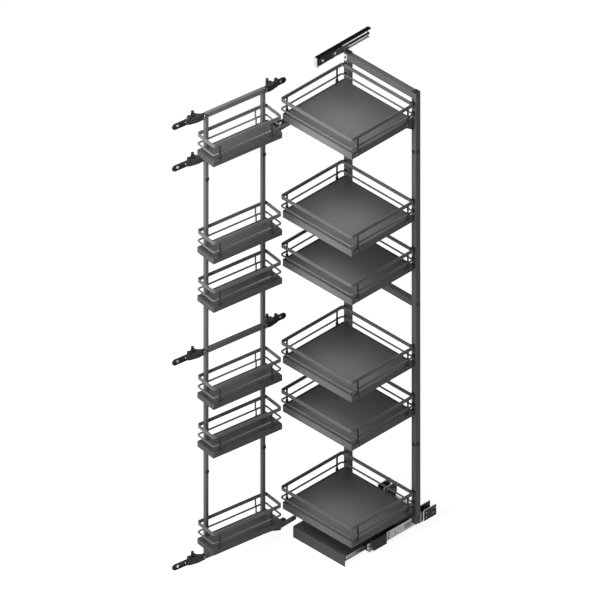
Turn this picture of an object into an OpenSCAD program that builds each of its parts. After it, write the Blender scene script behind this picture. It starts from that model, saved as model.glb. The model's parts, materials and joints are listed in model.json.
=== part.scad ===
// Tandem larder unit for a tall kitchen cabinet, drawn with its door swung open.
// X runs across the cabinet, Y to its rear and Z up. The origin is the centre of
// the four floor screws, on the cabinet floor.

/* [Pull-out frame] */
// Outside width over the two rear posts
frame_w = 367; // [330:1:400]
// Side of the square posts
post_side = 23; // [18:1:26]
// Distance from the front of the base pan to the front of the posts
frame_back = 309.6; // [309:0.1:330]
// Height of the lower end of the posts
frame_foot = 62; // [58:1:72]
// Height of the upper end of the posts
frame_top = 1952; // [1930:1:1960]
// Height of the top and middle crossbars
crossbar_h = 27; // [18:1:34]
// Height of the underside of the middle crossbar
mid_crossbar_z = 1010; // [990:5:1030]
// Height of the foot crossbar's own section
foot_crossbar_h = 22; // [14:1:24]
// Height of the underside of the foot crossbar
foot_crossbar_z = 75; // [72:1:82]

/* [Trays] */
// Width of a tray
tray_w = 352; // [330:1:356]
// Depth of a tray
tray_d = 309; // [280:1:309]
// Height of a tray's apron
tray_h = 28; // [22:1:34]
// How far the trays stand out in front of the base pan
tray_overhang = 9.5; // [4:0.5:10]
// Height of the underside of the lowest tray and shelf
first_z = 111; // [108:1:116]
// One step of the height grid that carries the trays
level_step = 213.5; // [205:0.5:215]
// How far a tray floor lies below its rim
floor_drop = 3.5; // [1:0.5:3.5]
// Thickness of the pressed sheet of trays and shelves
sheet_t = 2; // [1.5:0.5:3]
// Corner radius of trays and shelves
corner_r = 3; // [2.5:0.5:14]
// Height of the hooks that hang a tray on the posts
hook_h = 20; // [12:1:22]
// Drop of the gusset below the rear corner of the top tray
gusset_drop = 29; // [20:1:34]

/* [Rails round the trays] */
// Thickness of the flat top rail
rail_t = 4; // [3:0.5:5]
// Height of the flat top rail
rail_h = 14; // [10:1:18]
// Top of the flat rail above the underside of its tray
rail_top = 97; // [85:1:105]
// Diameter of the lower wire
wire_d = 7; // [5:0.5:8]
// Centre of the lower wire above the underside of its tray
wire_z = 49; // [42:1:56]
// Corner radius of the rails at their centre line
rail_r = 9; // [7:1:18]
// How far the rail's centre line stands outside the tray
rail_out = 4; // [3:0.5:4.5]
// How far the rear stretch of the rail lies in front of the tray's rear edge
rail_rear_in = 0.5; // [0:0.5:3]
// Diameter of the uprights
upright_d = 6; // [5:0.5:6.5]
// Distance of the uprights from the ends of a tray
upright_inset = 27.5; // [20:0.5:40]
// Width of the foot that screws an upright to the apron
foot_w = 11; // [9:1:14]
// Diameter of the screw head on that foot
foot_screw_d = 7; // [5:0.5:8]

/* [Base pan and slides] */
// Width of the base pan
pan_w = 263; // [255:1:270]
// Height of the base pan's top face
pan_top = 51; // [49.5:0.5:54]
// Height of the lower edge of its front
pan_low = 2; // [1:0.5:6]
// Depth of the base pan
pan_d = 250; // [230:1:252]
// Height of the right flange that carries the slide
pan_flange_h = 25; // [22:1:30]
// Forward travel of the pull-out frame
travel = 122; // [100:1:122]
// Front end of the fixed rails behind the front of the base pan
rail_start = 126.5; // [126:0.5:140]
// Length of the fixed rail
outer_len = 253; // [245:1:253]
// Width of the fixed rail
outer_w = 13; // [11.5:0.5:14]
// Height of the fixed rail
outer_h = 39; // [36:1:41]
// Underside of the right fixed rail
outer_z = 22; // [22:1:24]
// How much lower the left slide runs, under the base pan
left_drop = 13; // [13:1:13]
// Length of the middle rail
mid_len = 215; // [180:1:218]
// How far the middle rail shows in front of the fixed rail
mid_lead = 24; // [10:1:30]
// Height of the middle rail
mid_h = 27; // [24:1:28]
// Length of the inner rail
inner_len = 244; // [200:1:246]
// Height of the inner rail
inner_h = 14; // [10:1:16]
// Sheet thickness of the slides
slide_t = 1.5; // [1:0.25:2]
// Distances of the fixed rail's holes from its front end
rail_hole_1 = 24; // [20:1:28]
rail_hole_2 = 176; // [170:1:180]
rail_hole_3 = 204; // [196:1:212]
// Distance of its last hole from its rear end
rail_hole_end = 18; // [14:1:22]
// Front end of the rail's long slot behind its front end
rail_slot_start = 40; // [36:1:44]
// Length of that slot
rail_slot_len = 26; // [20:1:30]
// Front end of the inner rail's raised part behind its front end
inner_step = 60; // [50:1:66]
// Distance between the two slides
slide_pitch = 200; // [190:1:205]

/* [Floor fixing] */
// Width of a floor bar
bar_d = 60; // [50:1:62]
// Thickness of the floor bars
bar_t = 9; // [7:1:9]
// Left end of the floor bars
bar_left = -90; // [-100:1:-80]
// Right end of the floor bars
bar_right = 128; // [120:1:128]
// Distance between the left and right floor screws
screw_pitch_x = 130; // [110:1:140]
// Distance between the front and rear floor screws
screw_pitch_y = 254; // [250:1:260]
// Distance from the front of the base pan to the front floor screws
screw_front = 158; // [156:0.5:160]
// Diameter of the floor screw holes
screw_hole_d = 6; // [4:0.5:8]
// Length of the black front blocks
block_len = 65; // [50:1:66]
// Length of the rear brackets
bracket_len = 65; // [55:1:70]
// Width of the rear brackets
bracket_w = 34.5; // [30:0.5:36]
// Top of the blocks and of the rear brackets
block_top = 67; // [64:1:70]
// Wall thickness of the rear brackets
bracket_t = 3; // [2:0.5:4]
// Diameter of the bolt in a rear bracket
bolt_d = 9; // [6:0.5:12]

/* [Top guide] */
// Left face of the guide channel
guide_left = -200.6; // [-204:0.1:-198]
// Width of the guide channel
guide_w = 15; // [14:0.5:16]
// Height of the guide channel
guide_h = 40; // [36:1:44]
// How far the channel's underside lies below the top of the posts
guide_sink = 2; // [0:0.5:3]
// Length of the guide channel
guide_len = 273; // [260:1:290]
// Front end of the channel behind the front of the base pan
guide_start = 177; // [170:1:178]
// Sheet thickness of the channel
guide_t = 2; // [1.5:0.5:2.5]
// Clearance of a guide roller above and below in its channel
roller_gap = 0.5; // [0.3:0.1:0.8]
// Distance between the two guide rollers
roller_pitch = 64; // [55:1:70]
// Thickness of a guide roller
roller_t = 7; // [5:0.5:8]
// Diameter of the roller axles
axle_d = 6; // [5:0.5:7]
// Clearance of a turning fit, all round
turn_gap = 0.1; // [0.05:0.05:0.1]

/* [Door frame] */
// Hinge axis of the cabinet door across the cabinet
hinge_x = -215; // [-218:1:-212]
// Hinge axis in front of the base pan
hinge_out = 30; // [26:0.5:34]
// Angle at which the door stands open
open_angle = 98.2; // [80:0.1:100]
// Length of a door shelf
shelf_w = 310; // [300:1:316]
// Depth of a door shelf
shelf_d = 99; // [85:1:100]
// Height of a door shelf
shelf_h = 22.5; // [18:0.5:26]
// Distance of the shelves from the hinge axis along the door
shelf_start = 39.5; // [36:0.5:44]
// Distance of the shelves from the inner face of the door
shelf_off = 25.5; // [23:0.5:27]
// Distance of the shelf uprights from the hinge end of a shelf
shelf_up_hinge = 47; // [42:1:52]
// Distance of the shelf uprights from the free end of a shelf
shelf_up_free = 30; // [24:1:36]
// Side of the door posts
door_post = 14; // [12:0.5:15]
// Hinge side post centre from the end of a shelf
hinge_post_in = 22; // [20:0.5:30]
// Free side post centre from the end of a shelf
free_post_in = 33; // [25:0.5:40]
// Post centre from the door side edge of a shelf
post_in = 10; // [9.6:0.2:12]
// Height of the lower end of the door posts
door_foot = 40; // [36:1:44]
// Height of the upper end of the door posts
door_top = 1997; // [1990:1:2010]
// Height of a door frame bar
door_bar_h = 20; // [16:1:22]
// Distance of the end bars' centres from the ends of the door posts
door_bar_in = 10; // [10:0.5:14]
// Height of the centre of the middle bar
mid_bar_z = 951; // [940:1:960]
// Height of the centre of the bar below the top shelf
high_bar_z = 1804; // [1798:1:1806]
// Length of a screw plate on the door
plate_l = 86; // [70:1:90]
// Height of a screw plate
plate_h = 24; // [20:1:26]
// Thickness of a screw plate
plate_t = 2.5; // [2:0.5:3]
// Distance between the two screw holes of a plate
plate_pitch = 38.4; // [34:0.2:44]
// Diameter of the screw holes of a plate
plate_hole_d = 5; // [4:0.5:6]
// How far a screw plate starts out from its arm's inner edge
plate_start = 5; // [2:0.5:6]
// Drop of a plate's centre below its bar's centre
plate_drop = 23; // [20:1:26]
// Thickness of the curved bracket arms
arm_t = 8; // [6:0.5:10]
// Height of the curved bracket arms
arm_h = 18; // [14:1:20]
// Diameter of the adjusting knob on a bracket
knob_d = 11; // [8:0.5:13]

/* [Link arms] */
// Distance of the door pivot from the hinge axis along the door
pivot_along = 10; // [6:0.5:14]
// Distance of the door pivot from the inner face of the door
pivot_off = 63; // [60:0.5:66]
// Distance between the two ends of a link arm
link_len = 78; // [65:1:85]
// Width of a link arm
link_w = 16; // [14:0.5:18]
// Thickness of a link arm
link_t = 8; // [5:0.5:8.5]
// Thickness of the lug that carries a link arm
lug_t = 6.5; // [5:0.5:7]
// Diameter of the pivot pins
pin_d = 8; // [6:0.5:9]
// Direction of the link arms in the open position
link_turn = 91; // [85:1:95]

/* [Clips] */
// Height of a post clip
clip_h = 12; // [8:1:16]
// Thickness of a post clip
clip_t = 2.5; // [1.5:0.5:3]
// Height of the lower clip on the pull-out frame
frame_clip_low = 401; // [380:1:420]
// Height of the upper clip on the pull-out frame
frame_clip_high = 1687; // [1670:1:1700]
// How much higher the clips on the door frame sit
door_clip_up = 14; // [10:1:18]

/* [Hidden] */
$fn = 32;
eps = 0.01;
gap = 0.3;
LEVELS = [0, 2, 3, 5, 6, 8];
front_y = -(screw_front + screw_pitch_y / 2);
posts_y = front_y + frame_back;
tray_y = front_y - tray_overhang;
post_x = (frame_w - post_side) / 2;
floor_z = tray_h - floor_drop;
rear_screw = screw_front + screw_pitch_y;
fixed_y = front_y + rail_start;
outer_right = pan_w / 2;
slide_mid = outer_right + outer_w / 2 - slide_pitch / 2;
bracket_y = fixed_y + outer_len + gap;
guide_y = front_y + guide_start;
guide_z = frame_top - guide_sink;
roller_y = guide_y + 25;
roller_x = guide_left + guide_t + 1.2;
roller_z = guide_z + guide_h / 2;
roller_d = guide_h - 2 * (guide_t + roller_gap);
carriage_x = roller_x + roller_t + 0.7;
hinge_y = front_y - hinge_out;
post_a = [shelf_start + hinge_post_in, shelf_start + shelf_w - free_post_in];
post_b = shelf_off + post_in;
BAR_Z = [door_foot + door_bar_in, mid_bar_z, high_bar_z, door_top - door_bar_in];
low_link_z = 57;
high_link_z = first_z + LEVELS[5] * level_step - link_t - 5;

// ---------- shared shapes ----------

// Box between two opposite corners
module block(lo, hi) {
    translate(lo) cube(hi - lo);
}

// Rectangle with round corners, from the origin
module rounded(size, r) {
    translate([r, 0]) square([size.x - 2 * r, size.y]);
    translate([0, r]) square([size.x, size.y - 2 * r]);
    for (x = [r, size.x - r], y = [r, size.y - r])
        translate([x, y]) circle(r);
}

// Long plate outline with round ends about two points
module stadium(p, q, w) {
    run = q - p;
    side = [-run.y, run.x] * w / 2 / norm(run);
    polygon([p + side, q + side, q - side, p - side]);
    translate(p) circle(d = w);
    translate(q) circle(d = w);
}

// Pressed tray from its corner: a floor below a low rim, hollow underneath
module pressed_pan(size, h, drop) {
    inner = size - [2 * sheet_t, 2 * sheet_t];
    difference() {
        linear_extrude(h) rounded(size, corner_r);
        if (drop > 0)
            translate([sheet_t, sheet_t, h - drop])
                linear_extrude(drop + 1) rounded(inner, corner_r - sheet_t);
        translate([sheet_t, sheet_t, -1])
            linear_extrude(h - drop - sheet_t + 1) rounded(inner, corner_r - sheet_t);
    }
}

// Closed ring of round wire on the rectangle from lo to hi
module wire_ring(lo, hi, r, d) {
    for (y = [lo.y, hi.y])
        translate([lo.x + r, y, 0]) rotate([0, 90, 0]) cylinder(h = hi.x - lo.x - 2 * r, d = d);
    for (x = [lo.x, hi.x])
        translate([x, lo.y + r, 0]) rotate([-90, 0, 0]) cylinder(h = hi.y - lo.y - 2 * r, d = d);
    for (i = [0, 1], j = [0, 1])
        translate([i ? hi.x - r : lo.x + r, j ? hi.y - r : lo.y + r, 0])
            rotate([0, 0, i ? (j ? 0 : 270) : (j ? 90 : 180)])
                rotate_extrude(angle = 90) translate([r, 0]) circle(d = d);
}

// Flat top rail, lower wire and uprights; lo and hi are corners of the centre line
module rail_set(lo, hi, uprights, foot_z) {
    half = rail_t / 2;
    span = hi - lo;
    translate([lo.x - half, lo.y - half, rail_top - rail_h])
        linear_extrude(rail_h) difference() {
            rounded(span + [rail_t, rail_t], rail_r + half);
            translate([rail_t, rail_t]) rounded(span - [rail_t, rail_t], rail_r - half);
        }
    translate([0, 0, wire_z]) wire_ring(lo, hi, rail_r, wire_d);
    for (p = uprights)
        translate([p.x, p.y, foot_z]) cylinder(h = rail_top - rail_h - foot_z + eps, d = upright_d);
}

// ---------- floor fixing and slides ----------

module cross_bars() {
    color("gray") difference() {
        for (y = [screw_front, rear_screw])
            block([bar_left, front_y + y - bar_d / 2, 0], [bar_right, front_y + y + bar_d / 2, bar_t]);
        for (x = [-1, 1], y = [screw_front, rear_screw])
            translate([x * screw_pitch_x / 2, front_y + y, -1]) cylinder(h = bar_t + 2, d = screw_hole_d);
    }
}

// Repeats a right hand slide part at the left slide, mirrored and lower
module at_left() {
    translate([2 * slide_mid, 0, -left_drop]) mirror([1, 0, 0]) children();
}

// Channel open towards -X: web on the right, two flanges and two lips
module c_rail(x, w, y, len, z, h, lip) {
    block([x + w - slide_t, y, z], [x + w, y + len, z + h]);
    for (base = [z, z + h - slide_t])
        block([x, y, base], [x + w - slide_t, y + len, base + slide_t]);
    if (lip > 0)
        for (base = [z + slide_t, z + h - slide_t - lip])
            block([x, y, base], [x + slide_t, y + len, base + lip]);
}

module outer_rail() {
    color("silver") difference() {
        c_rail(outer_right, outer_w, fixed_y, outer_len, outer_z, outer_h, 3);
        for (y = [rail_hole_1, rail_hole_2, rail_hole_3, outer_len - rail_hole_end])
            translate([outer_right, fixed_y + y, outer_z + outer_h / 2])
                rotate([0, 90, 0]) cylinder(h = outer_w + 1, d = 5);
        block([outer_right + outer_w - slide_t - 1, fixed_y + rail_slot_start, outer_z + outer_h / 2 - 3],
            [outer_right + outer_w + 1, fixed_y + rail_slot_start + rail_slot_len, outer_z + outer_h / 2 + 3]);
    }
}

module mid_rail() {
    x = outer_right + slide_t + 1.5;
    color("silver")
        c_rail(x, outer_w - 2 * slide_t - 2, fixed_y - mid_lead, mid_len,
            outer_z + (outer_h - mid_h) / 2, mid_h, 0);
}

module inner_rail() {
    z = outer_z + (outer_h - inner_h) / 2;
    color("silver") difference() {
        union() {
            block([outer_right, front_y + 4, z], [outer_right + 2.5, front_y + 4 + inner_len, z + inner_h]);
            block([outer_right + 2.5, front_y + 4 + inner_step, z + 3],
                [outer_right + 7.5, front_y + 4 + inner_len, z + inner_h - 3]);
        }
        for (y = [14, 30])
            translate([outer_right - 1, front_y + y, z + inner_h / 2])
                rotate([0, 90, 0]) cylinder(h = 5, d = 4);
    }
}

module rail_outer_right() { outer_rail(); }
module rail_outer_left() { at_left() outer_rail(); }
module rail_mid_right() { mid_rail(); }
module rail_mid_left() { at_left() mid_rail(); }
module rail_inner_right() { inner_rail(); }
module rail_inner_left() { at_left() inner_rail(); }

// Block beside the front end of the fixed rail, on a foot that stands on the front bar
module rail_block_right() {
    web = outer_right + outer_w;
    y = fixed_y + gap;
    color("black") {
        block([web, y, outer_z - 2], [web + 9.5, y + block_len, block_top]);
        block([bar_right - 28, y + 2, outer_z - 2], [web, y + bar_d - 4, outer_z]);
        block([bar_right - 28, y + 2, bar_t], [bar_right, y + bar_d - 4, outer_z - 2]);
    }
}

module rail_block_left() {
    web = 2 * slide_mid - outer_right - outer_w;
    y = fixed_y + gap;
    color("black")
        block([web - 8, y + 2, bar_t], [web, y + bar_d - 4, pan_top - 6]);
}

// U bracket behind a fixed rail, with a clamping bolt; x is its left face
module rear_bracket(x) {
    y = bracket_y;
    end = y + bracket_len;
    color("black") difference() {
        union() {
            block([x, y, outer_z], [x + bracket_w, end, outer_z + bracket_t]);
            for (side = [x, x + bracket_w - bracket_t])
                block([side, y, outer_z], [side + bracket_t, end, block_top]);
            block([x, y, outer_z], [x + bracket_w, y + bracket_t, block_top - 12]);
            block([x + 2, y, bar_t],
                [min(x + bracket_w, bar_right), front_y + rear_screw + bar_d / 2 - 2, outer_z]);
            translate([x + bracket_w / 2, y + 1, outer_z + 22]) rotate([-90, 0, 0])
                cylinder(h = bracket_len - 1 + 6, d = bolt_d);
            translate([x + bracket_w / 2, y + 30, outer_z + 22]) rotate([-90, 0, 0])
                cylinder(h = 9, d = bolt_d * 2);
        }
        block([x + bracket_t, end - 17, outer_z + bracket_t], [x + 8, end - 9, outer_z + bracket_t + 1]);
    }
}

module rear_bracket_right() { rear_bracket(outer_right + outer_w / 2 - 3.5 - bracket_w / 2); }
module rear_bracket_left() {
    rear_bracket(outer_right + outer_w / 2 - 3.5 - bracket_w / 2 - slide_pitch);
}

// ---------- pull-out frame ----------

// Pan of folded sheet: top, front, right flange, hanging rib, and a web to the foot crossbar
module base_pan() {
    half = pan_w / 2;
    rear = front_y + pan_d;
    rib = 2 * slide_mid - outer_right;
    top = foot_crossbar_z + foot_crossbar_h;
    color("dimgray") {
        block([-half, front_y, pan_top - sheet_t], [half, rear, pan_top]);
        block([-half, front_y, pan_low], [half, front_y + sheet_t, pan_top]);
        for (x = [-half, half - sheet_t])
            block([x, front_y, pan_top - pan_flange_h], [x + sheet_t, rear, pan_top]);
        block([rib, front_y, pan_top - pan_flange_h - left_drop], [rib + sheet_t, rear, pan_top]);
        block([-half, rear - sheet_t, pan_top - sheet_t], [half, rear, top]);
        block([-half, rear - sheet_t, top - sheet_t], [half, posts_y, top]);
    }
}

module post(x) {
    color("dimgray") difference() {
        block([x - post_side / 2, posts_y, frame_foot],
            [x + post_side / 2, posts_y + post_side, frame_top]);
        block([x - post_side / 2 + sheet_t, posts_y + sheet_t, frame_foot - 1],
            [x + post_side / 2 - sheet_t, posts_y + post_side - sheet_t, frame_top - sheet_t]);
    }
}

module post_left() { post(-post_x); }
module post_right() { post(post_x); }

// Hollow bar between the posts
module crossbar(z, h) {
    reach = post_x - post_side / 2;
    color("dimgray") difference() {
        block([-reach, posts_y, z], [reach, posts_y + post_side, z + h]);
        block([-reach - 1, posts_y + sheet_t, z + sheet_t],
            [reach + 1, posts_y + post_side - sheet_t, z + h - sheet_t]);
    }
}

module top_crossbar() { crossbar(frame_top - crossbar_h, crossbar_h); }
module mid_crossbar() { crossbar(mid_crossbar_z, crossbar_h); }
module foot_crossbar() { crossbar(foot_crossbar_z, foot_crossbar_h); }

function level_z(i) = first_z + LEVELS[i] * level_step;

// Tray i with the two hooks that hang it on the posts; the top tray has a gusset too
module tray_pan(i) {
    rear = tray_y + tray_d;
    hook_w = tray_w / 2 - post_x + post_side / 2;
    color("dimgray") translate([0, 0, level_z(i)]) {
        translate([-tray_w / 2, tray_y, 0]) pressed_pan([tray_w, tray_d], tray_h, floor_drop);
        for (x = [-tray_w / 2, tray_w / 2 - hook_w])
            block([x + 1, rear, 3], [x + hook_w - 1, posts_y, 3 + hook_h]);
        if (i == 5)
            translate([tray_w / 2 - 3, posts_y, 0]) rotate([90, 0, -90]) linear_extrude(sheet_t)
                polygon([[0, 3], [0, -gusset_drop], [posts_y - rear + 31.5, 0], [posts_y - rear + 31.5, 3]]);
    }
}

// Rails of tray i; each upright ends in a foot screwed to the apron
module tray_rail(i) {
    x = tray_w / 2 + rail_out;
    lo = [-x, tray_y - rail_out];
    hi = [x, tray_y + tray_d - rail_rear_in];
    ys = [tray_y + upright_inset, tray_y + tray_d - upright_inset];
    foot_z = tray_h - 14;
    color("gray") translate([0, 0, level_z(i)]) {
        rail_set(lo, hi, [for (sx = [-x, x], y = ys) [sx, y]], foot_z);
        for (s = [-1, 1], y = ys) {
            block([min(s * x, s * tray_w / 2), y - foot_w / 2, foot_z - 4],
                [max(s * x, s * tray_w / 2), y + foot_w / 2, foot_z + 8]);
            translate([s * (x - 1), y, foot_z]) rotate([0, s * 90, 0]) cylinder(h = 4, d = foot_screw_d);
        }
    }
}

// Clips on the outer faces of the right post
module frame_clips() {
    color("black") for (z = [frame_clip_low, frame_clip_high]) {
        block([post_x + post_side / 2, posts_y + 4, z],
            [post_x + post_side / 2 + clip_t, posts_y + post_side - 4, z + clip_h]);
        block([post_x - 6, posts_y - clip_t, z], [post_x + 6, posts_y, z + clip_h]);
    }
}

// ---------- top guide ----------

// Channel open to the right, with a lip down from its top and one up from its floor
module top_guide_channel() {
    right = guide_left + guide_w;
    end = guide_y + guide_len;
    top = guide_z + guide_h;
    color("silver") difference() {
        union() {
            block([guide_left, guide_y, guide_z], [guide_left + guide_t, end, top]);
            for (z = [guide_z, top - guide_t])
                block([guide_left + guide_t, guide_y, z], [right, end, z + guide_t]);
            for (z = [guide_z + guide_t, top - guide_t - 3])
                block([right - 1.5, guide_y, z], [right, end, z + 3]);
        }
        for (y = [guide_y + 12, end - 25])
            translate([guide_left - 1, y, roller_z]) rotate([0, 90, 0]) cylinder(h = guide_t + 2, d = 5);
    }
}

// Plate beside the channel with an axle for each roller
module guide_carriage() {
    color("dimgray") {
        block([carriage_x, roller_y - 14, roller_z - 10],
            [carriage_x + 3, roller_y + roller_pitch + 14, roller_z + 10]);
        for (y = [roller_y, roller_y + roller_pitch]) {
            translate([roller_x - 0.5, y, roller_z]) rotate([0, 90, 0])
                cylinder(h = carriage_x - roller_x + 0.5 + eps, d = axle_d);
            translate([carriage_x - 0.5, y, roller_z]) rotate([0, 90, 0]) cylinder(h = 0.5 + eps, d = 10);
        }
    }
}

// Arm from the carriage to the head of the left post
module guide_arm() {
    left = carriage_x + 3;
    start = roller_y + roller_pitch - 16;
    riser = guide_left + guide_w + 1;
    color("dimgray") {
        block([left, start, roller_z - 8], [left + 3, posts_y + post_side, roller_z + 8]);
        block([riser, posts_y + 2, frame_top], [-post_x + post_side / 2, posts_y + post_side, frame_top + 3]);
        block([riser, posts_y + 2, frame_top], [riser + 3, posts_y + post_side, roller_z]);
    }
}

module guide_roller(y) {
    color("black") translate([roller_x, y, roller_z]) rotate([0, 90, 0]) difference() {
        cylinder(h = roller_t, d = roller_d, $fn = 48);
        translate([0, 0, -1]) cylinder(h = roller_t + 2, d = axle_d + 2 * turn_gap);
    }
}

module guide_roller_front() { guide_roller(roller_y); }
module guide_roller_rear() { guide_roller(roller_y + roller_pitch); }

// ---------- door frame, drawn along the door and turned open ----------

module on_door() {
    translate([hinge_x, hinge_y, 0]) rotate([0, 0, -open_angle]) children();
}

// Box round a door post, grown by a clearance
module door_post_box(a, grow, z0, z1) {
    r = door_post / 2 + grow;
    block([a - r, post_b - r, z0], [a + r, post_b + r, z1]);
}

module door_post_at(a) {
    color("dimgray") on_door() difference() {
        door_post_box(a, 0, door_foot, door_top);
        door_post_box(a, -1.5, door_foot - 1, door_top - 1.5);
    }
}

module door_post_hinge() { door_post_at(post_a[0]); }
module door_post_free() { door_post_at(post_a[1]); }

module door_bar(i) {
    r = door_post / 2;
    z = BAR_Z[i] - door_bar_h / 2;
    color("dimgray") on_door() difference() {
        block([post_a[0] + r, post_b - r, z], [post_a[1] - r, post_b + r, z + door_bar_h]);
        block([post_a[0] + r - 1, post_b - r + 1.5, z + 1.5],
            [post_a[1] - r + 1, post_b + r - 1.5, z + door_bar_h - 1.5]);
    }
}

module door_bar_low() { door_bar(0); }
module door_bar_mid() { door_bar(1); }
module door_bar_high() { door_bar(2); }
module door_bar_top() { door_bar(3); }

module shelf_pan(i) {
    z = level_z(i);
    color("dimgray") on_door() difference() {
        translate([shelf_start, shelf_off, z]) pressed_pan([shelf_w, shelf_d], shelf_h, 0);
        for (a = post_a)
            door_post_box(a, gap, z - 1, z + shelf_h + 1);
    }
}

// Rails of shelf i; the uprights stand on the shelf, except behind the posts
module shelf_rail(i) {
    lo = [shelf_start + 3, shelf_off - 0.9];
    hi = [shelf_start + shelf_w - 3, shelf_off + shelf_d - 3];
    as = [shelf_start + shelf_up_hinge, shelf_start + shelf_w - shelf_up_free];
    color("gray") on_door() translate([0, 0, level_z(i)]) {
        rail_set(lo, hi, [for (a = as) [a, hi.y]], shelf_h);
        translate([as[0], lo.y, wire_z])
            cylinder(h = rail_top - rail_h - wire_z + eps, d = upright_d);
        translate([as[0], shelf_off + upright_d / 2, shelf_h])
            cylinder(h = wire_z - shelf_h, d = upright_d);
    }
}

// One curved arm with its knob and its screw plate; side is -1 at the hinge end
module door_bracket_end(side, z) {
    face = side < 0 ? post_a[0] - door_post / 2 : post_a[1] + door_post / 2;
    r = post_b - plate_t;
    plate_a = face + side * (r - arm_t / 2 + plate_start + plate_l / 2);
    translate([face, plate_t, z - arm_h / 2]) rotate([0, 0, side < 0 ? 90 : 0])
        linear_extrude(arm_h) intersection() {
            difference() {
                circle(r + arm_t / 2, $fn = 64);
                circle(r - arm_t / 2, $fn = 64);
            }
            square(r + arm_t);
        }
    block([min(face + side * (r - arm_t / 2), face + side * (r + arm_t / 2)), plate_t, z - plate_drop - plate_h / 2],
        [max(face + side * (r - arm_t / 2), face + side * (r + arm_t / 2)), plate_t + arm_t, z + arm_h / 2]);
    translate([face + side * r, plate_t + arm_t / 2 + 1.5, z + arm_h / 2 - eps])
        cylinder(h = 9, d = knob_d);
    difference() {
        translate([0, plate_t, z - plate_drop]) rotate([90, 0, 0]) linear_extrude(plate_t)
            stadium([plate_a - side * (plate_l - plate_h) / 2, 0], [plate_a + side * (plate_l - plate_h) / 2, 0], plate_h);
        for (s = [-1, 1])
            translate([plate_a + s * plate_pitch / 2, plate_t + 1, z - plate_drop]) rotate([90, 0, 0])
                cylinder(h = plate_t + 2, d = plate_hole_d);
    }
}

// Lug from the hinge side post to the pivot of a link arm, with its pin
module link_lug(z) {
    pivot = [pivot_along, pivot_off];
    root = [post_a[0], post_b];
    difference() {
        translate([0, 0, z - gap - lug_t]) linear_extrude(lug_t) stadium(root, pivot, link_w);
        door_post_box(post_a[0], 0, z - 20, z + 20);
        block([post_a[0] - door_post / 2, 0, z - 20], [post_a[0] + shelf_d, shelf_d, z + 20]);
    }
    translate([pivot.x, pivot.y, z - gap - 1]) cylinder(h = link_t + gap + 1.2, d = pin_d);
    translate([pivot.x, pivot.y, z + link_t + 0.15]) cylinder(h = 3, d = link_w - 2);
}

module door_bracket(i) {
    color("black") on_door() for (side = [-1, 1])
        door_bracket_end(side, BAR_Z[i]);
}

module door_bracket_low() {
    door_bracket(0);
    color("black") on_door() link_lug(low_link_z);
}
module door_bracket_mid() { door_bracket(1); }
module door_bracket_high() {
    door_bracket(2);
    color("black") on_door() link_lug(high_link_z);
}
module door_bracket_top() { door_bracket(3); }

// Clips on the inner faces of the door posts
module door_clips() {
    r = door_post / 2;
    color("black") on_door() for (a = post_a, z = [frame_clip_low, frame_clip_high])
        block([a - r - 1, post_b + r, z + door_clip_up], [a + r + 1, post_b + r + clip_t, z + door_clip_up + clip_h]);
}

// ---------- link arms ----------

module link_arm(z) {
    color("dimgray") on_door() translate([pivot_along, pivot_off, z])
        rotate([0, 0, open_angle + link_turn]) difference() {
            union() {
                linear_extrude(link_t) stadium([0, 0], [link_len, 0], link_w);
                translate([link_len, 0, link_t - eps]) cylinder(h = 2.5, d = link_w - 4);
            }
            translate([0, 0, -1]) cylinder(h = link_t + 2, d = pin_d + 2 * turn_gap);
        }
}

module link_arm_low() { link_arm(low_link_z); }
module link_arm_high() { link_arm(high_link_z); }

cross_bars();
rail_outer_right();
rail_outer_left();
rail_block_right();
rail_block_left();
rear_bracket_right();
rear_bracket_left();
top_guide_channel();
rail_mid_right();
rail_mid_left();
base_pan();
rail_inner_right();
rail_inner_left();
post_left();
post_right();
top_crossbar();
mid_crossbar();
foot_crossbar();
tray_pan(0);  // tray_pan_1
tray_pan(1);  // tray_pan_2
tray_pan(2);  // tray_pan_3
tray_pan(3);  // tray_pan_4
tray_pan(4);  // tray_pan_5
tray_pan(5);  // tray_pan_6
tray_rail(0);  // tray_rail_1
tray_rail(1);  // tray_rail_2
tray_rail(2);  // tray_rail_3
tray_rail(3);  // tray_rail_4
tray_rail(4);  // tray_rail_5
tray_rail(5);  // tray_rail_6
frame_clips();
guide_carriage();
guide_arm();
guide_roller_front();
guide_roller_rear();
door_post_hinge();
door_post_free();
door_bar_low();
door_bar_mid();
door_bar_high();
door_bar_top();
shelf_pan(0);  // shelf_pan_1
shelf_pan(1);  // shelf_pan_2
shelf_pan(2);  // shelf_pan_3
shelf_pan(3);  // shelf_pan_4
shelf_pan(4);  // shelf_pan_5
shelf_pan(5);  // shelf_pan_6
shelf_rail(0);  // shelf_rail_1
shelf_rail(1);  // shelf_rail_2
shelf_rail(2);  // shelf_rail_3
shelf_rail(3);  // shelf_rail_4
shelf_rail(4);  // shelf_rail_5
shelf_rail(5);  // shelf_rail_6
door_bracket_low();
door_bracket_mid();
door_bracket_high();
door_bracket_top();
door_clips();
link_arm_low();
link_arm_high();
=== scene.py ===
"""Looks of a tandem larder unit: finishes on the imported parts, and the small fittings they lack."""

import json
import logging
import math
from collections.abc import Callable, Sequence
from dataclasses import dataclass, field
from enum import Enum

import bmesh
import bpy
from mathutils import Matrix, Vector


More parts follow.
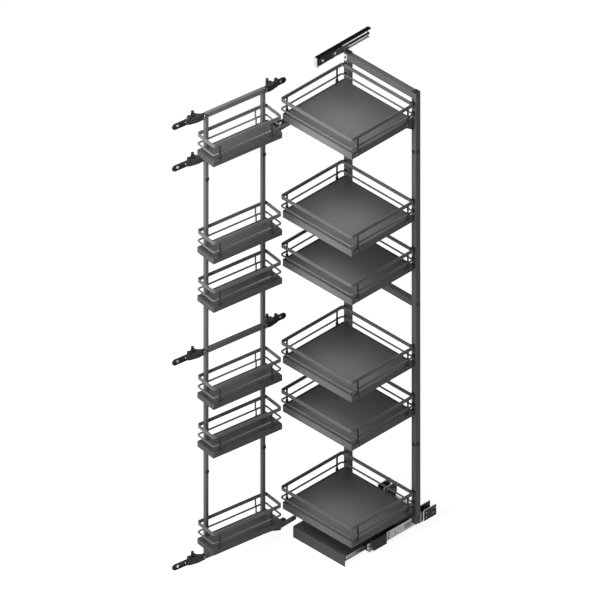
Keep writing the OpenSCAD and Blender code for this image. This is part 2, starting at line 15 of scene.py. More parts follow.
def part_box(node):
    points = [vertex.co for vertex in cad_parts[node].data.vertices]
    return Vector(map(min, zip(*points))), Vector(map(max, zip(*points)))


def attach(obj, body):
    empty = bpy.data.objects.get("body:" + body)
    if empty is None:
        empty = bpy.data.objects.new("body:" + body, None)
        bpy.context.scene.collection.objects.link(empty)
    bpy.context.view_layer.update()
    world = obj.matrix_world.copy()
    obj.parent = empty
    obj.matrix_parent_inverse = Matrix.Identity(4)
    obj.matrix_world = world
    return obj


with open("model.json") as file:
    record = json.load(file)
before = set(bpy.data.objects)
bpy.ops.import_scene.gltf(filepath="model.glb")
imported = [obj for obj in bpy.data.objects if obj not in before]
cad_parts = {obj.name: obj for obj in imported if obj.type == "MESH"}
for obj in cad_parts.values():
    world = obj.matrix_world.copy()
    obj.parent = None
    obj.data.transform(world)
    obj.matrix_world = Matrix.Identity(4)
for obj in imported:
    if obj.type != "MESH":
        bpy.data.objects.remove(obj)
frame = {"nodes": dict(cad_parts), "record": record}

LOG = logging.getLogger("larder")
MM = 0.001
POSTS = ("post_left", "post_right")
LEVELS = range(1, 7)
# Heights above the underside of a tray or shelf, in millimetres: its top, the flat rail and the wire
TRAY_H = 28.0
RAIL_UP = 83.0
WIRE_UP = 49.0
# Tint of the painted parts, from blue to red
COOL = -0.012

Mesh = bmesh.types.BMesh
Socket = bpy.types.NodeSocket


class Slot(Enum):
    """Finish slots of the record."""

    ANTHRACITE = "anthracite_paint"
    RAIL = "rail_paint"
    ZINC = "zinc_steel"
    BRIGHT = "bright_steel"
    BLACK = "black_plastic"


class Axis(Enum):
    """Directions in which a fitting can face, as unit vectors."""

    RIGHT = (1.0, 0.0, 0.0)
    LEFT = (-1.0, 0.0, 0.0)
    FRONT = (0.0, -1.0, 0.0)
    REAR = (0.0, 1.0, 0.0)
    UP = (0.0, 0.0, 1.0)


# ---------------------------------------------------------------- finishes


class Nodes:
    """Small helper that adds and links the nodes of one tree."""

    def __init__(self, tree: bpy.types.NodeTree) -> None:
        """Keeps the node tree of a material or world."""
        self.tree = tree

    def add(self, kind: str, **values: object) -> bpy.types.Node:
        """Adds a node and sets attributes or inputs by name.

        Args:
            kind: type name of the node.
            values: attributes, or inputs with spaces written as underscores.

        Returns:
            The new node.
        """
        node = self.tree.nodes.new(kind)
        for key, value in values.items():
            if hasattr(node, key):
                setattr(node, key, value)
            else:
                node.inputs[key.replace("_", " ")].default_value = value
        return node

    def link(self, out: Socket, into: Socket) -> None:
        """Links two sockets."""
        self.tree.links.new(out, into)

    def seen(self) -> Socket:
        """Tells seen rays from those that only carry light.

        Returns:
            A socket that is 1 for camera, glossy and transmission rays.
        """
        path = self.add("ShaderNodeLightPath")
        first = self.add("ShaderNodeMath", operation="MAXIMUM")
        second = self.add("ShaderNodeMath", operation="MAXIMUM")
        self.link(path.outputs["Is Camera Ray"], first.inputs[0])
        self.link(path.outputs["Is Glossy Ray"], first.inputs[1])
        self.link(first.outputs["Value"], second.inputs[0])
        self.link(path.outputs["Is Transmission Ray"], second.inputs[1])
        return second.outputs["Value"]


class FinishNodes(Nodes):
    """Nodes of one material, with its shader."""

    def __init__(self, name: str) -> None:
        """Starts a material with a plain shader.

        Args:
            name: name of the material.
        """
        self.material = bpy.data.materials.new(name)
        self.material.use_nodes = True
        super().__init__(self.material.node_tree)
        self.shader = self.tree.nodes["Principled BSDF"]

    def place(self, stretch: tuple[float, float, float] = (1.0, 1.0, 1.0)) -> Socket:
        """Object coordinates, stretched.

        Args:
            stretch: scale along X, Y and Z.

        Returns:
            The socket of the scaled coordinates.
        """
        where = self.add("ShaderNodeTexCoord")
        mapping = self.add("ShaderNodeMapping", Scale=stretch)
        self.link(where.outputs["Object"], mapping.inputs["Vector"])
        return mapping.outputs["Vector"]

    def noise(self, scale: float, detail: float, vector: Socket) -> Socket:
        """Noise factor at a scale.

        Args:
            scale: cells per metre.
            detail: octaves.
            vector: coordinates.

        Returns:
            The factor socket.
        """
        node = self.add("ShaderNodeTexNoise", Scale=scale, Detail=detail)
        self.link(vector, node.inputs["Vector"])
        return node.outputs["Fac"]

    def ramp(self, factor: Socket, low: tuple, high: tuple, start: float = 0.3, end: float = 0.7) -> Socket:
        """Colour that runs between two colours.

        Args:
            factor: where it stands.
            low: colour at start.
            high: colour at end.
            start: factor below which it is low.
            end: factor above which it is high.

        Returns:
            The colour socket.
        """
        node = self.add("ShaderNodeValToRGB")
        for stop, position, colour in zip(node.color_ramp.elements, (start, end), (low, high)):
            stop.position = position
            stop.color = colour
        self.link(factor, node.inputs["Fac"])
        return node.outputs["Color"]

    def spread(self, factor: Socket, low: float, high: float) -> Socket:
        """Value that runs between two numbers.

        Args:
            factor: where it stands, from 0 to 1.
            low: value at 0.
            high: value at 1.

        Returns:
            The value socket.
        """
        node = self.add("ShaderNodeMapRange", To_Min=low, To_Max=high)
        self.link(factor, node.inputs["Value"])
        return node.outputs["Result"]

    def bump(self, height: Socket, strength: float, distance: float) -> None:
        """Adds a bump to the shader's normal.

        Args:
            height: height socket.
            strength: share of the bump, from 0 to 1.
            distance: height of the bump, in metres.
        """
        node = self.add("ShaderNodeBump", Strength=strength, Distance=distance)
        self.link(height, node.inputs["Height"])
        self.link(node.outputs["Normal"], self.shader.inputs["Normal"])


def grey(level: float, warm: float = 0.0) -> tuple[float, float, float, float]:
    """A nearly neutral colour of a linear level; warm shifts it from blue to red."""
    return (level * (1.0 + warm), level, level * (1.0 - warm), 1.0)


@dataclass(frozen=True)
class PowderCoat:
    """Fine textured powder coat on steel.

    Attributes:
        name: name of the material.
        level: linear grey of the coat.
        rough: mean roughness.
        grain: strength of the fine texture.
        sheen: strength of the coat's reflection.
    """

    name: str
    level: float
    rough: float = 0.42
    grain: float = 0.05
    sheen: float = 0.18

    def colour(self, nodes: FinishNodes, cloud: Socket) -> Socket:
        """Colour of the coat, a little clouded."""
        return nodes.ramp(cloud, grey(self.level * 0.92, COOL), grey(self.level * 1.08, COOL))

    def make(self) -> bpy.types.Material:
        """Builds the material.

        Returns:
            The material.
        """
        nodes = FinishNodes(self.name)
        spot = nodes.place()
        cloud = nodes.noise(9.0, 4.0, spot)
        nodes.link(self.colour(nodes, cloud), nodes.shader.inputs["Base Color"])
        nodes.link(nodes.spread(cloud, self.rough - 0.05, self.rough + 0.07),
                   nodes.shader.inputs["Roughness"])
        nodes.shader.inputs["Specular IOR Level"].default_value = self.sheen
        nodes.bump(nodes.noise(1400.0, 2.0, spot), self.grain, 0.00012)
        return nodes.material


@dataclass(frozen=True)
class PaintedLightCoat(PowderCoat):
    """Powder coat of a wide pressed floor with painted light: a painted highlight makes it lighter in the
    middle, and painted shade makes it darker at its rim.

    Attributes:
        middle: linear grey of the painted highlight in the middle, where level is that of the painted shade at
            the rim.
        centre: middle of the painted highlight, in metres.
        reach: distance from there to the rim's level, in metres.
    """

    middle: float = 0.15
    centre: tuple[float, float, float] = (0.03, -0.215, 0.0)
    reach: float = 0.27

    def colour(self, nodes: FinishNodes, cloud: Socket) -> Socket:
        """Colour of the floor with painted light: a painted highlight at its middle, fading by distance into
        painted shade at its rim.

        Args:
            nodes: nodes of the material.
            cloud: not used here.

        Returns:
            The colour socket.
        """
        # Painted light: the grey rises from painted shade at the rim to a painted highlight in the middle.
        where = nodes.add("ShaderNodeTexCoord")
        flat = nodes.add("ShaderNodeVectorMath", operation="MULTIPLY")
        flat.inputs[1].default_value = (1.0, 1.0, 0.0)
        nodes.link(where.outputs["Object"], flat.inputs[0])
        away = nodes.add("ShaderNodeVectorMath", operation="DISTANCE")
        away.inputs[1].default_value = self.centre
        nodes.link(flat.outputs["Vector"], away.inputs[0])
        fade = nodes.add("ShaderNodeMapRange", interpolation_type="SMOOTHSTEP", From_Max=self.reach)
        nodes.link(away.outputs["Value"], fade.inputs["Value"])
        return nodes.ramp(fade.outputs["Result"], grey(self.middle, COOL), grey(self.level, COOL), 0.0, 1.0)


@dataclass(frozen=True)
class RolledSteel:
    """Rolled or plated steel with a grain drawn along one direction.

    Attributes:
        name: name of the material.
        level: linear grey of the metal.
        rough: mean roughness.
        stretch: scale of the grain along X, Y and Z.
        spangle: share of the cloudy plating in the colour.
    """

    name: str
    level: float
    rough: float
    stretch: tuple[float, float, float]
    spangle: float

    def make(self) -> bpy.types.Material:
        """Builds the material.

        Returns:
            The material.
        """
        nodes = FinishNodes(self.name)
        grain = nodes.noise(1.0, 3.0, nodes.place(self.stretch))
        cloud = nodes.noise(60.0, 5.0, nodes.place())
        low = grey(self.level * (1.0 - self.spangle))
        high = grey(self.level * (1.0 + self.spangle))
        nodes.link(nodes.ramp(cloud, low, high), nodes.shader.inputs["Base Color"])
        nodes.link(nodes.spread(grain, self.rough - 0.08, self.rough + 0.1),
                   nodes.shader.inputs["Roughness"])
        nodes.shader.inputs["Metallic"].default_value = 1.0
        nodes.bump(grain, 0.04, 0.0001)
        return nodes.material


@dataclass(frozen=True)
class MouldedPlastic:
    """Black moulded plastic with a fine spark-eroded grain.

    Attributes:
        name: name of the material.
        level: linear grey.
        rough: mean roughness.
        gloss: specular level.
    """

    name: str
    level: float
    rough: float = 0.5
    gloss: float = 0.22

    def make(self) -> bpy.types.Material:
        """Builds the material.

        Returns:
            The material.
        """
        nodes = FinishNodes(self.name)
        spot = nodes.place()
        cloud = nodes.noise(30.0, 3.0, spot)
        nodes.link(nodes.ramp(cloud, grey(self.level * 0.85), grey(self.level * 1.2)),
                   nodes.shader.inputs["Base Color"])
        nodes.link(nodes.spread(cloud, self.rough - 0.06, self.rough + 0.08),
                   nodes.shader.inputs["Roughness"])
        nodes.shader.inputs["Specular IOR Level"].default_value = self.gloss
        nodes.bump(nodes.noise(2400.0, 1.0, spot), 0.2, 0.00008)
        return nodes.material


@dataclass
class Palette:
    """Every material of the unit, made once."""

    materials: dict[Slot, bpy.types.Material] = field(default_factory=dict)

    def make(self) -> None:
        """Builds one material for each slot."""
        finishes = {
            Slot.ANTHRACITE: PowderCoat("anthracite_powder_coat", 0.1),
            Slot.RAIL: PowderCoat("rail_powder_coat", 0.112, 0.38, 0.04),
            Slot.ZINC: RolledSteel("zinc_plated_slide", 0.3, 0.36, (900.0, 14.0, 900.0), 0.1),
            Slot.BRIGHT: RolledSteel("bright_guide_channel", 0.75, 0.24, (700.0, 10.0, 700.0), 0.06),
            Slot.BLACK: MouldedPlastic("black_moulded_plastic", 0.012),
        }
        for slot, finish in finishes.items():
            self.materials[slot] = finish.make()

    def dress(self, obj: bpy.types.Object, slot: Slot) -> None:
        """Gives an object the material of a slot."""
        paint(obj, self.materials[slot])


def paint(obj: bpy.types.Object, material: bpy.types.Material) -> None:
    """Gives an object one material all over.

    Args:
        obj: mesh object.
        material: its material.
    """
    if not obj.material_slots:
        obj.data.materials.append(material)
    for place in obj.material_slots:
        place.material = material


# ---------------------------------------------------------------- mesh tools


class Maker:
    """Turns bmesh work into pieces that ride on a body."""

    def __init__(self, palette: Palette) -> None:
        """Keeps the palette of the unit."""
        self.palette = palette

    def piece(self, name: str, bm: Mesh, slot: Slot, body: str, bevel: float = 0.0) -> bpy.types.Object:
        """Makes a shown piece from a bmesh.

        Args:
            name: name of the piece.
            bm: its mesh, which is freed here.
            slot: finish slot.
            body: CAD body that it rides on.
            bevel: width of its edge rounding, in metres.

        Returns:
            The new object.
        """
        bmesh.ops.recalc_face_normals(bm, faces=bm.faces)
        mesh = bpy.data.meshes.new(name)
        bm.to_mesh(mesh)
        bm.free()
        obj = bpy.data.objects.new(name, mesh)
        bpy.context.scene.collection.objects.link(obj)
        self.palette.dress(obj, slot)
        if bevel > 0.0:
            round_edges(obj, bevel)
        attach(obj, body)
        LOG.info("piece %s on %s", name, body)
        return obj


def round_edges(obj: bpy.types.Object, width: float) -> None:
    """Rounds an object's sharp edges.

    Args:
        obj: mesh object.
        width: width of the rounding, in metres.
    """
    bevel = obj.modifiers.new("rounding", "BEVEL")
    bevel.width = width
    bevel.segments = 2
    bevel.limit_method = "ANGLE"
    bevel.angle_limit = math.radians(50.0)


def in_mm(pair: tuple[Vector, Vector]) -> tuple[Vector, Vector]:
    """The two corners of a box, in millimetres."""
    return pair[0] / MM, pair[1] / MM


def at(spot: Sequence[float]) -> Matrix:
    """Shift to a point given in millimetres."""
    return Matrix.Translation(Vector(spot) * MM)


def turn_to(direction: Sequence[float]) -> Matrix:
    """Rotation that takes +Z to a direction."""
    return Vector(direction).to_track_quat("Z", "Y").to_matrix().to_4x4()


def circle(radius: float, height: float, sides: int) -> list[Vector]:
    """Points of a level circle round the Z axis, in millimetres."""
    angles = [2 * math.pi * k / sides for k in range(sides)]
    return [Vector((radius * math.cos(angle), radius * math.sin(angle), height)) for angle in angles]


def skin(bm: Mesh, loops: list[list[Vector]], place: Matrix, closed: bool = False) -> None:
    """Adds a closed form through loops of as many points each.

    Args:
        bm: mesh to add to.
        loops: loops of points in millimetres, in order.
        place: where the form goes.
        closed: joins the last loop to the first, where the end loops otherwise get a face each.
    """
    made = [[bm.verts.new(place @ (point * MM)) for point in loop] for loop in loops]
    count = len(made[0])
    for low, high in zip(made, made[1:] + made[:1] if closed else made[1:]):
        for k in range(count):
            n = (k + 1) % count
            bm.faces.new((low[k], low[n], high[n], high[k]))
    if not closed:
        bm.faces.new(made[0])
        bm.faces.new(made[-1])


def add_lathe(bm: Mesh, profile: list[tuple[float, float]], place: Matrix, sides: int = 24) -> None:
    """Adds a closed turned form through radius and height pairs in millimetres."""
    skin(bm, [circle(radius, height, sides) for radius, height in profile], place)


def add_block(bm: Mesh, low: tuple[float, ...], high: tuple[float, ...],
              place: Matrix = Matrix.Identity(4)) -> None:
    """Adds a closed box.

    Args:
        bm: mesh to add to.
        low: one corner, in millimetres.
        high: the opposite corner, in millimetres.
        place: where the box goes.
    """
    size = Vector(high) - Vector(low)
    centre = (Vector(low) + Vector(high)) / 2
    made = bmesh.ops.create_cube(bm, size=1.0)
    for vert in made["verts"]:
        vert.co = place @ ((vert.co * size + centre) * MM)


def add_screw(bm: Mesh, spot: Sequence[float], direction: Sequence[float], head: float, lift: float) -> None:
    """Adds a pan head screw with a hexagon socket.

    Args:
        bm: mesh to add to.
        spot: centre of the head's seat, in millimetres.
        direction: unit vector out of the seat.
        head: diameter of the head, in millimetres.
        lift: height of the head, in millimetres.
    """
    radius = head / 2
    socket = radius * 0.45
    sides = 24
    loops = [circle(radius * share, lift * rise, sides)
             for share, rise in ((1.0, 0.0), (1.0, 0.45), (0.86, 0.85), (0.62, 1.0))]
    for depth in (lift, lift * 0.35):
        loop = circle(socket, depth, sides)
        for k, point in enumerate(loop):
            flat = math.cos(math.pi / 6) / math.cos((2 * math.pi * k / sides % (math.pi / 3)) - math.pi / 6)
            point.xy *= flat
        loops.append(loop)
    skin(bm, loops, at(spot) @ turn_to(direction))


def add_nut(bm: Mesh, spot: Sequence[float], direction: Sequence[float], width: float, height: float) -> None:
    """Adds a chamfered hexagon nut.

    Args:
        bm: mesh to add to.
        spot: centre of its seat, in millimetres.
        direction: unit vector out of the seat.
        width: width over its corners, in millimetres.
        height: height, in millimetres.
    """
    radius = width / 2
    add_lathe(bm, [(radius * 0.9, 0.0), (radius, height * 0.15), (radius, height * 0.85),
                   (radius * 0.9, height)], at(spot) @ turn_to(direction), 6)


def add_knob(bm: Mesh, spot: Vector, radius: float, height: float) -> None:
    """Adds an upright knob with a serrated rim and a socket.

    Args:
        bm: mesh to add to.
        spot: centre of its underside, in millimetres.
        radius: outer radius, in millimetres.
        height: height, in millimetres.
    """
    rim = 0.85
    loops = []
    for share, rise in ((0.9, 0.0), (1.0, 0.12), (1.0, 0.8), (0.88, 1.0), (0.45, 1.0), (0.42, 0.5)):
        loop = circle(radius * share, rise * height, 32)
        if share > rim:
            for point in loop[1::2]:
                point.xy *= 0.94
        loops.append(loop)
    skin(bm, loops, at(spot))


def add_ring(bm: Mesh, place: Matrix, inner: float, outer: float, height: float) -> None:
    """Adds a flat closed ring of an inner and outer radius and a height in millimetres."""
    section = ((inner, 0.0), (outer, 0.0), (outer - 0.5, height), (inner, height))
    skin(bm, [circle(radius, up, 28) for radius, up in section], place, closed=True)


def add_oval_rim(bm: Mesh, place: Matrix, half: float, radius: float, width: float, height: float) -> None:
    """Adds a raised rim along the outline of a plate with round ends.

    Args:
        bm: mesh to add to.
        place: where its base and axis go.
        half: half of the distance between the centres of the round ends, in millimetres.
        radius: radius of the ends, in millimetres.
        width: width of the rim, in millimetres.
        height: height of the rim, in millimetres.
    """
    sides = 16
    section = ((radius - width, 0.0), (radius, 0.0), (radius - 0.4, height), (radius - width + 0.5, height))
    loops = []
    for size, up in section:
        loop = []
        for k in range(2 * sides):
            angle = math.pi * (k + 0.5) / sides - math.pi / 2
            shift = half if k < sides else -half
            loop.append(Vector((shift + size * math.cos(angle), size * math.sin(angle), up)))
        loops.append(loop)
    skin(bm, loops, place, closed=True)


def add_upright(bm: Mesh, foot: Vector, low: float, high: float, wire: float) -> None:
    """Adds the sleeves of an upright, with a boss at its foot and a collar at the wire.

    Args:
        bm: mesh to add to.
        foot: point on the upright's axis at the underside of its tray, in millimetres.
        low: height of the boss's underside above that point.
        high: height of the flat rail's underside above that point.
        wire: height of the wire's axis above that point.
    """
    add_lathe(bm, [(4.4, low), (5.6, low + 0.8), (5.6, low + 12.0), (4.6, low + 14.0), (3.5, low + 15.0),
                   (3.5, wire - 4.6), (4.3, wire - 4.1), (4.3, wire + 4.1), (3.5, wire + 4.6),
                   (3.5, high - 3.0), (4.2, high - 2.0), (4.2, high)], at(foot), 20)


def add_bend(bm: Mesh, place: Matrix, centre: Vector, way: int, radius: float,
             turn: tuple[float, float], half: float, rise: tuple[float, float]) -> None:
    """Adds a bar bent along a quarter circle.

    Args:
        bm: mesh to add to.
        place: matrix of the door.
        centre: centre of the bend in door coordinates, in millimetres.
        way: 1 or -1, the side to which the bend opens.
        radius: radius of the bar's middle line, in millimetres.
        turn: first and last angle, in degrees.
        half: half of the bar's width, in millimetres.
        rise: its underside and top, from the centre's height, in millimetres.
    """
    steps = 12
    loops = []
    for k in range(steps + 1):
        angle = math.radians(turn[0] + (turn[1] - turn[0]) * k / steps)
        ray = Vector((way * math.cos(angle), math.sin(angle), 0.0))
        loops.append([centre + ray * (radius + size) + Vector((0.0, 0.0, up))
                      for size, up in ((-half, rise[0]), (half, rise[0]), (half, rise[1]), (-half, rise[1]))])
    skin(bm, loops, place)


def add_arm(bm: Mesh, place: Matrix, root: Vector, way: int) -> None:
    """Adds the outer shell of a bracket arm, from the door post to its knob.

    Args:
        bm: mesh to add to.
        place: matrix of the door.
        root: point on the post's face, at the bar's height, in millimetres.
        way: 1 or -1, the side to which the arm reaches.
    """
    half = 4.5
    stations = ((0.0, 36.0, -13.0, 9.0), (12.0, 35.4, -15.0, 9.0), (24.0, 33.4, -18.0, 7.5),
                (36.0, 30.0, -20.0, 4.0), (48.0, 26.4, -21.0, 2.0), (60.0, 23.6, -21.0, 2.0),
                (67.0, 22.4, -19.5, 2.0), (71.0, 21.8, -16.5, 1.0))
    skin(bm, [[root + Vector((way * out, off + side, up))
               for side, up in ((-half, foot), (half, foot), (half, head), (-half, head))]
              for out, off, foot, head in stations], place)


# ---------------------------------------------------------------- the unit


@dataclass
class CadParts:
    """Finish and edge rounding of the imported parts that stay.

    Attributes:
        palette: materials of the unit.
        soft_edge: edge rounding of sheet and tube, in metres.
        smooth: first words of the names of round parts, which get no rounding.
    """

    palette: Palette
    soft_edge: float = 0.0007
    smooth: tuple[str, ...] = ("tray_rail", "shelf_rail", "guide_roller")

    def dress(self) -> None:
        """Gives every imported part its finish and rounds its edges."""
        slots = {entry["node"]: Slot(entry["material_slot"]) for entry in frame["record"]["subparts"]}
        # Tray floors: painted highlight in the middle, painted shade at the rim.
        floors = {"tray_pan": PaintedLightCoat("tray_floor_painted_light", 0.07, 0.43).make(),
                  "shelf_pan": PowderCoat("shelf_powder_coat", 0.056).make(),
                  # Base pan: a darker copy of the anthracite coat, painted shade for the shadow under the
                  # lowest tray.
                  "base_pan": PowderCoat("base_pan_painted_shade_coat", 0.05).make()}
        for name, obj in frame["nodes"].items():
            paint(obj, floors.get(name.rstrip("_0123456789"), self.palette.materials[slots[name]]))
            weld = obj.modifiers.new("weld", "WELD")
            weld.merge_threshold = 0.00001
            if not name.startswith(self.smooth):
                round_edges(obj, self.soft_edge)
            LOG.info("dressed %s", name)


@dataclass
class FrameFittings:
    """Painted shade at the hook slots, and clips, plugs and screws on the pull-out frame.

    Attributes:
        maker: makes the pieces.
        slot_shade_w: width of the painted shade at a hook slot, in millimetres.
        slot_shade_h: height of the painted shade at a hook slot, in millimetres.
        screw_d: diameter of a post screw, in millimetres.
        wall: wall of a post, in millimetres.
        body: CAD body of the frame.
    """

    maker: Maker
    slot_shade_w: float = 5.0
    slot_shade_h: float = 16.0
    screw_d: float = 8.0
    wall: float = 2.2
    body: str = "pull_out_frame"

    def build(self) -> None:
        """Builds every fitting of the frame."""
        self.hook_slot_shades()
        self.rail_clips()
        self.post_screws()
        self.post_plugs()

    def hook_slot_shades(self) -> None:
        """Black patches at the keyhole slots in the front faces of the posts, above every tray: painted shade
        of the hollow posts seen through the slots.
        """
        bm = bmesh.new()
        for side in POSTS:
            low, high = in_mm(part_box(side))
            x = (low.x + high.x) / 2
            for level in LEVELS:
                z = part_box(f"tray_pan_{level}")[1].z / MM
                for up in (6.0, 34.0):
                    add_block(bm, (x - self.slot_shade_w / 2, low.y - 0.5, z + up),
                              (x + self.slot_shade_w / 2, low.y + 1.0, z + up + self.slot_shade_h))
        self.maker.piece("post_hook_slot_shades", bm, Slot.BLACK, self.body, 0.0004)

    def rail_clips(self) -> None:
        """Moulded clips that hold the rear of every rail on the posts."""
        bm = bmesh.new()
        for side in POSTS:
            low, high = in_mm(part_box(side))
            x = (low.x + high.x) / 2
            seat = low.y + 0.2
            for level in LEVELS:
                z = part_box(f"tray_pan_{level}")[1].z / MM - TRAY_H
                for half, front, rear, foot, head in ((6.0, 15.6, seat, 85.0, 95.5),
                                                      (5.0, 11.2, 16.4, 92.0, 98.6),
                                                      (4.5, 16.2, seat, 45.0, 53.0)):
                    add_block(bm, (x - half, front, z + foot), (x + half, rear, z + head))
        self.maker.piece("rail_clips", bm, Slot.BLACK, self.body, 0.0008)

    def post_screws(self) -> None:
        """Screws that hold the crossbars, on the outer faces of the posts."""
        bm = bmesh.new()
        for side, facing in zip(POSTS, (Axis.LEFT, Axis.RIGHT)):
            low, high = in_mm(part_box(side))
            x = high.x if facing is Axis.RIGHT else low.x
            for bar in ("top_crossbar", "mid_crossbar", "foot_crossbar"):
                foot, head = in_mm(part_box(bar))
                add_screw(bm, (x, (low.y + high.y) / 2, (foot.z + head.z) / 2), facing.value, self.screw_d, 2.0)
        self.maker.piece("crossbar_screws", bm, Slot.BLACK, self.body)

    def post_plugs(self) -> None:
        """Plastic plugs that close the feet of the posts, and the cap on the right post."""
        for side in POSTS:
            low, high = in_mm(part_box(side))
            bm = bmesh.new()
            for inset, foot, head in ((self.wall, -2.0, 10.0), (0.4, -3.5, 0.0)):
                add_block(bm, (low.x + inset, low.y + inset, low.z + foot),
                          (high.x - inset, high.y - inset, low.z + head))
            self.maker.piece(f"{side}_foot_plug", bm, Slot.BLACK, self.body, 0.0006)
        low, high = in_mm(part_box("post_right"))
        bm = bmesh.new()
        add_block(bm, (low.x - 0.2, low.y - 0.2, high.z - 0.2), (high.x + 0.2, high.y + 0.2, high.z + 2.6))
        add_screw(bm, (low.x + 10.0, low.y, high.z - 30.0), Axis.FRONT.value, 7.0, 1.4)
        self.maker.piece("post_right_cap", bm, Slot.BLACK, self.body, 0.0006)


@dataclass
class RailFittings:
    """Sleeves, bosses and screws on the rail uprights of the trays, in millimetres.

    Attributes:
        maker: makes the pieces.
        depth: depth of a tray.
        inset: distance of the uprights from the ends of a tray.
        out: distance of the uprights outside a tray.
        half: half of the width of an upright's boss.
        head: diameter of a screw head.
        rise: height of the screw above the underside of its tray.
        boss: height of the boss's underside above the same.
        body: CAD body of the trays.
    """

    maker: Maker
    depth: float = 309.0
    inset: float = 27.5
    out: float = 4.0
    half: float = 3.5
    head: float = 8.5
    rise: float = 14.0
    boss: float = 22.0
    body: str = "pull_out_frame"

    def build(self) -> None:
        """Builds the fittings of every tray."""
        for level in LEVELS:
            low, high = in_mm(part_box(f"tray_pan_{level}"))
            base = high.z - TRAY_H
            reach = high.x + self.out
            screws, sleeves = bmesh.new(), bmesh.new()
            for y in (low.y + self.inset, low.y + self.depth - self.inset):
                for way, facing in ((-1, Axis.LEFT), (1, Axis.RIGHT)):
                    add_screw(screws, (way * (reach + self.half), y, base + self.rise),
                              facing.value, self.head, 2.2)
                    add_upright(sleeves, Vector((way * reach, y, base)), self.boss, RAIL_UP, WIRE_UP)
            self.maker.piece(f"tray_{level}_foot_screws", screws, Slot.BLACK, self.body)
            self.maker.piece(f"tray_{level}_upright_sleeves", sleeves, Slot.BLACK, self.body)


@dataclass
class DoorSide:
    """Door coordinates: along the door from its hinge and off its inner face.

    Attributes:
        turn: how far the door stands open, in degrees.
        hinge: hinge axis, in metres.
    """

    turn: float = 98.2
    hinge: Vector = field(default_factory=lambda: Vector((-0.215, -0.315, 0.0)))

    def matrix(self) -> Matrix:
        """Matrix from door coordinates to the row frame."""
        return Matrix.Translation(self.hinge) @ Matrix.Rotation(math.radians(-self.turn), 4, "Z")

    def spot(self, along: float, off: float, up: float) -> Vector:
        """Point in the row frame at door coordinates, all in millimetres."""
        return self.matrix() @ (Vector((along, off, up)) * MM) / MM

    def inward(self) -> Vector:
        """Unit vector from the door's inner face into the cabinet."""
        return (self.matrix().to_3x3() @ Vector((0.0, 1.0, 0.0))).normalized()


